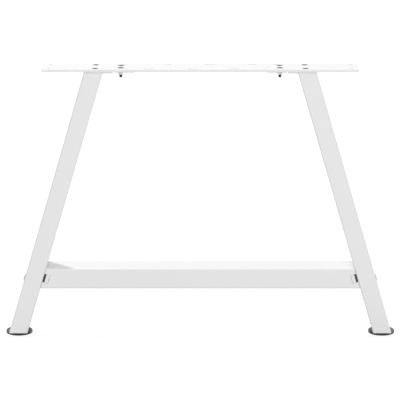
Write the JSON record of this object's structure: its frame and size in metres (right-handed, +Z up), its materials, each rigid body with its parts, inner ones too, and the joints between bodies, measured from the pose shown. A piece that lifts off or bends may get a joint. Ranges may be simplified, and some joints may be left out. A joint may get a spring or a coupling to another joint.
{
  "type": "trestle table leg",
  "caption": "A-shaped steel trestle for one end of a tabletop: leaning tube legs, a low stretcher, a perforated top plate and screw-adjusted levelling feet.",
  "frame": {"origin": "on the floor, midway between the two feet, feet screwed in", "axes": "+X along the frame's width, +Y along its depth, +Z up"},
  "size_m": [1.0358, 0.09, 0.72],
  "materials": {
    "white_powder_coat": "satin powder coat",
    "black_steel": "black oxide",
    "zinc_steel": "zinc plated",
    "white_plastic": "satin",
    "grey_plastic": "matt",
    "black_plastic": "semi-gloss"
  },
  "bodies": {
    "frame": {"top_plate": "white_powder_coat", "stretcher_tube": "white_powder_coat", "left_leg_tube": "white_powder_coat", "left_head_flange": "white_powder_coat", "left_end_plate": "black_steel", "left_leg_plug": "grey_plastic", "left_sole_plate": "white_powder_coat", "left_foot_nut": "zinc_steel", "right_leg_tube": "white_powder_coat", "right_head_flange": "white_powder_coat", "right_end_plate": "black_steel", "right_leg_plug": "grey_plastic", "right_sole_plate": "white_powder_coat", "right_foot_nut": "zinc_steel", "leg_bolts": "black_steel", "leg_nuts": "zinc_steel", "tongue_bolts": "black_steel", "tongue_nuts": "zinc_steel", "stretcher_bolts": "black_steel", "stretcher_weld_nuts": "zinc_steel", "window_covers": "white_plastic"},
    "left_foot": {"left_foot_pad": "black_plastic"},
    "left_foot_screw": {"left_foot_stud": "zinc_steel"},
    "right_foot": {"right_foot_pad": "black_plastic"},
    "right_foot_screw": {"right_foot_stud": "zinc_steel"}
  },
  "joints": [
    {"name": "left_foot_height", "type": "slide", "parent": "frame", "child": "left_foot", "axis": [0, 0, -1], "range_m": [0, 0.01]},
    {"name": "left_foot_turn", "type": "hinge", "parent": "left_foot", "child": "left_foot_screw", "pos_m": [-0.48287, 0, 0.02], "axis": [0, 0, -1], "range_deg": [0, 2400]},
    {"name": "right_foot_height", "type": "slide", "parent": "frame", "child": "right_foot", "axis": [0, 0, -1], "range_m": [0, 0.01]},
    {"name": "right_foot_turn", "type": "hinge", "parent": "right_foot", "child": "right_foot_screw", "pos_m": [0.48287, 0, 0.02], "axis": [0, 0, -1], "range_deg": [0, 2400]}
  ],
  "couplings": [
    {"joint": "left_foot_turn", "follows": "left_foot_height", "rad_per_m": 4188.8},
    {"joint": "right_foot_turn", "follows": "right_foot_height", "rad_per_m": 4188.8}
  ]
}
